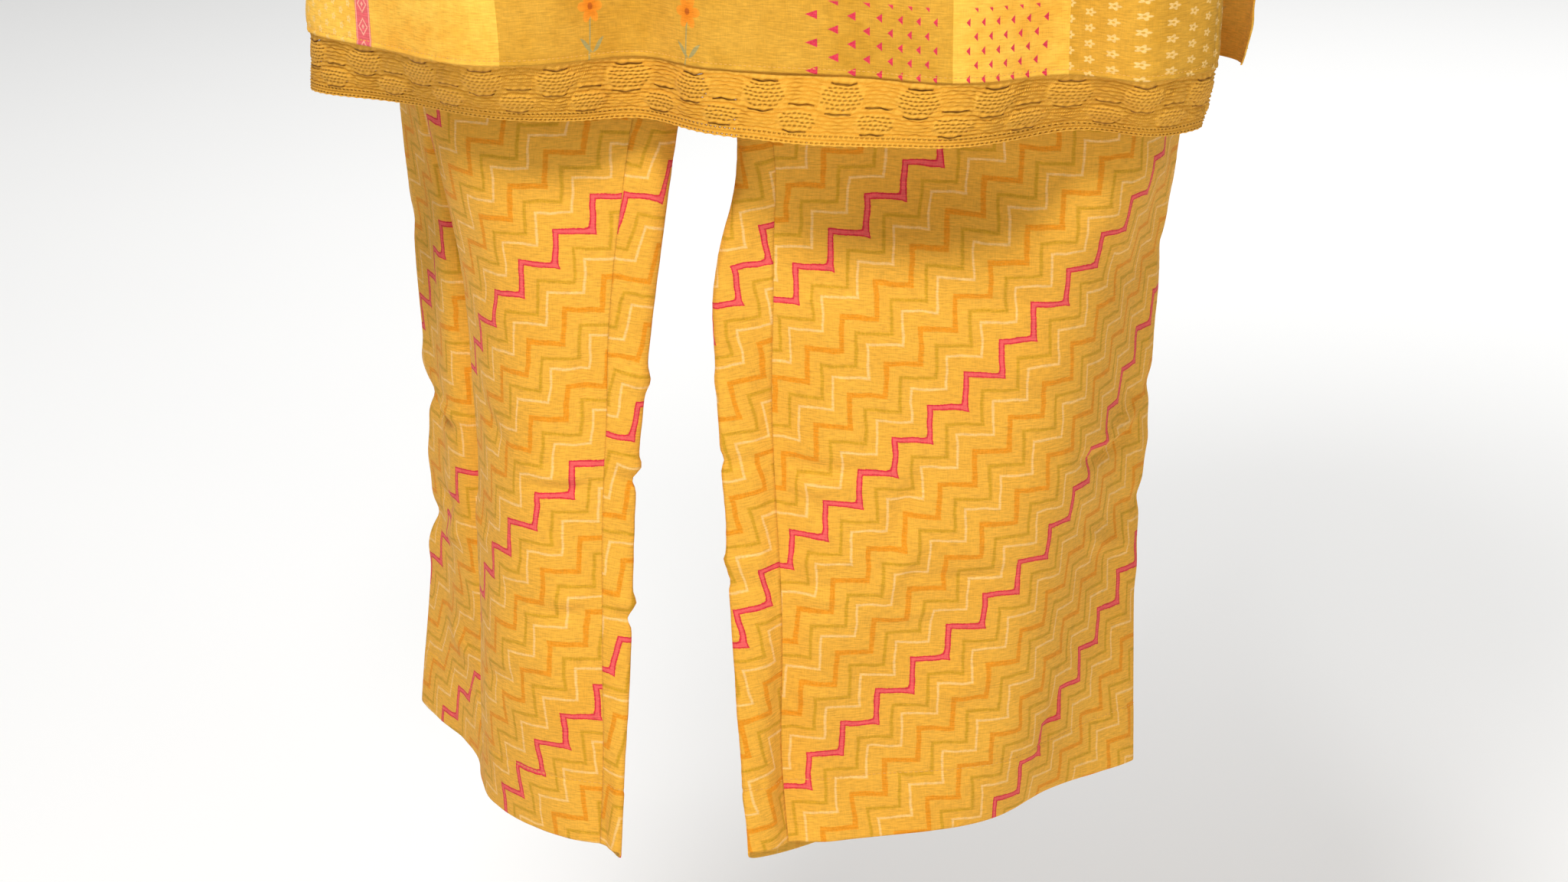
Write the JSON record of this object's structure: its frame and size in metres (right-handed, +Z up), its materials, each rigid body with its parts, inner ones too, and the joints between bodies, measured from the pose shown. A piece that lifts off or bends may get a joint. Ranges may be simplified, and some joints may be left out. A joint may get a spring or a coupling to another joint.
{
  "type": "salwar kameez suit",
  "caption": "Salwar kameez suit in mustard cotton: side-slit kameez with a patchwork print and a crochet hem band, over straight wide zigzag-print trousers, in its hollow worn form.",
  "frame": {"origin": "midway between the two high shoulder points, where the worn suit is held up", "axes": "+Z up, -Y the way the wearer faces, +X the wearer's left"},
  "size_m": [0.7304, 0.3178, 1.3889],
  "materials": {
    "kameez_front": "matte printed cotton",
    "kameez_back": "matte printed cotton",
    "lace_band": "matte cotton crochet",
    "sleeve_left": "matte printed cotton",
    "sleeve_right": "matte printed cotton",
    "trouser_left_front": "matte printed cotton",
    "trouser_left_back": "matte printed cotton",
    "trouser_right_front": "matte printed cotton",
    "trouser_right_back": "matte printed cotton",
    "waistband": "matte cotton casing"
  },
  "bodies": {
    "root": {"kameez_front": "kameez_front", "kameez_back": "kameez_back", "lace_band": "lace_band", "sleeve_left": "sleeve_left", "sleeve_right": "sleeve_right", "trouser_left_front": "trouser_left_front", "trouser_left_back": "trouser_left_back", "trouser_right_front": "trouser_right_front", "trouser_right_back": "trouser_right_back", "waistband": "waistband"}
  },
  "joints": []
}
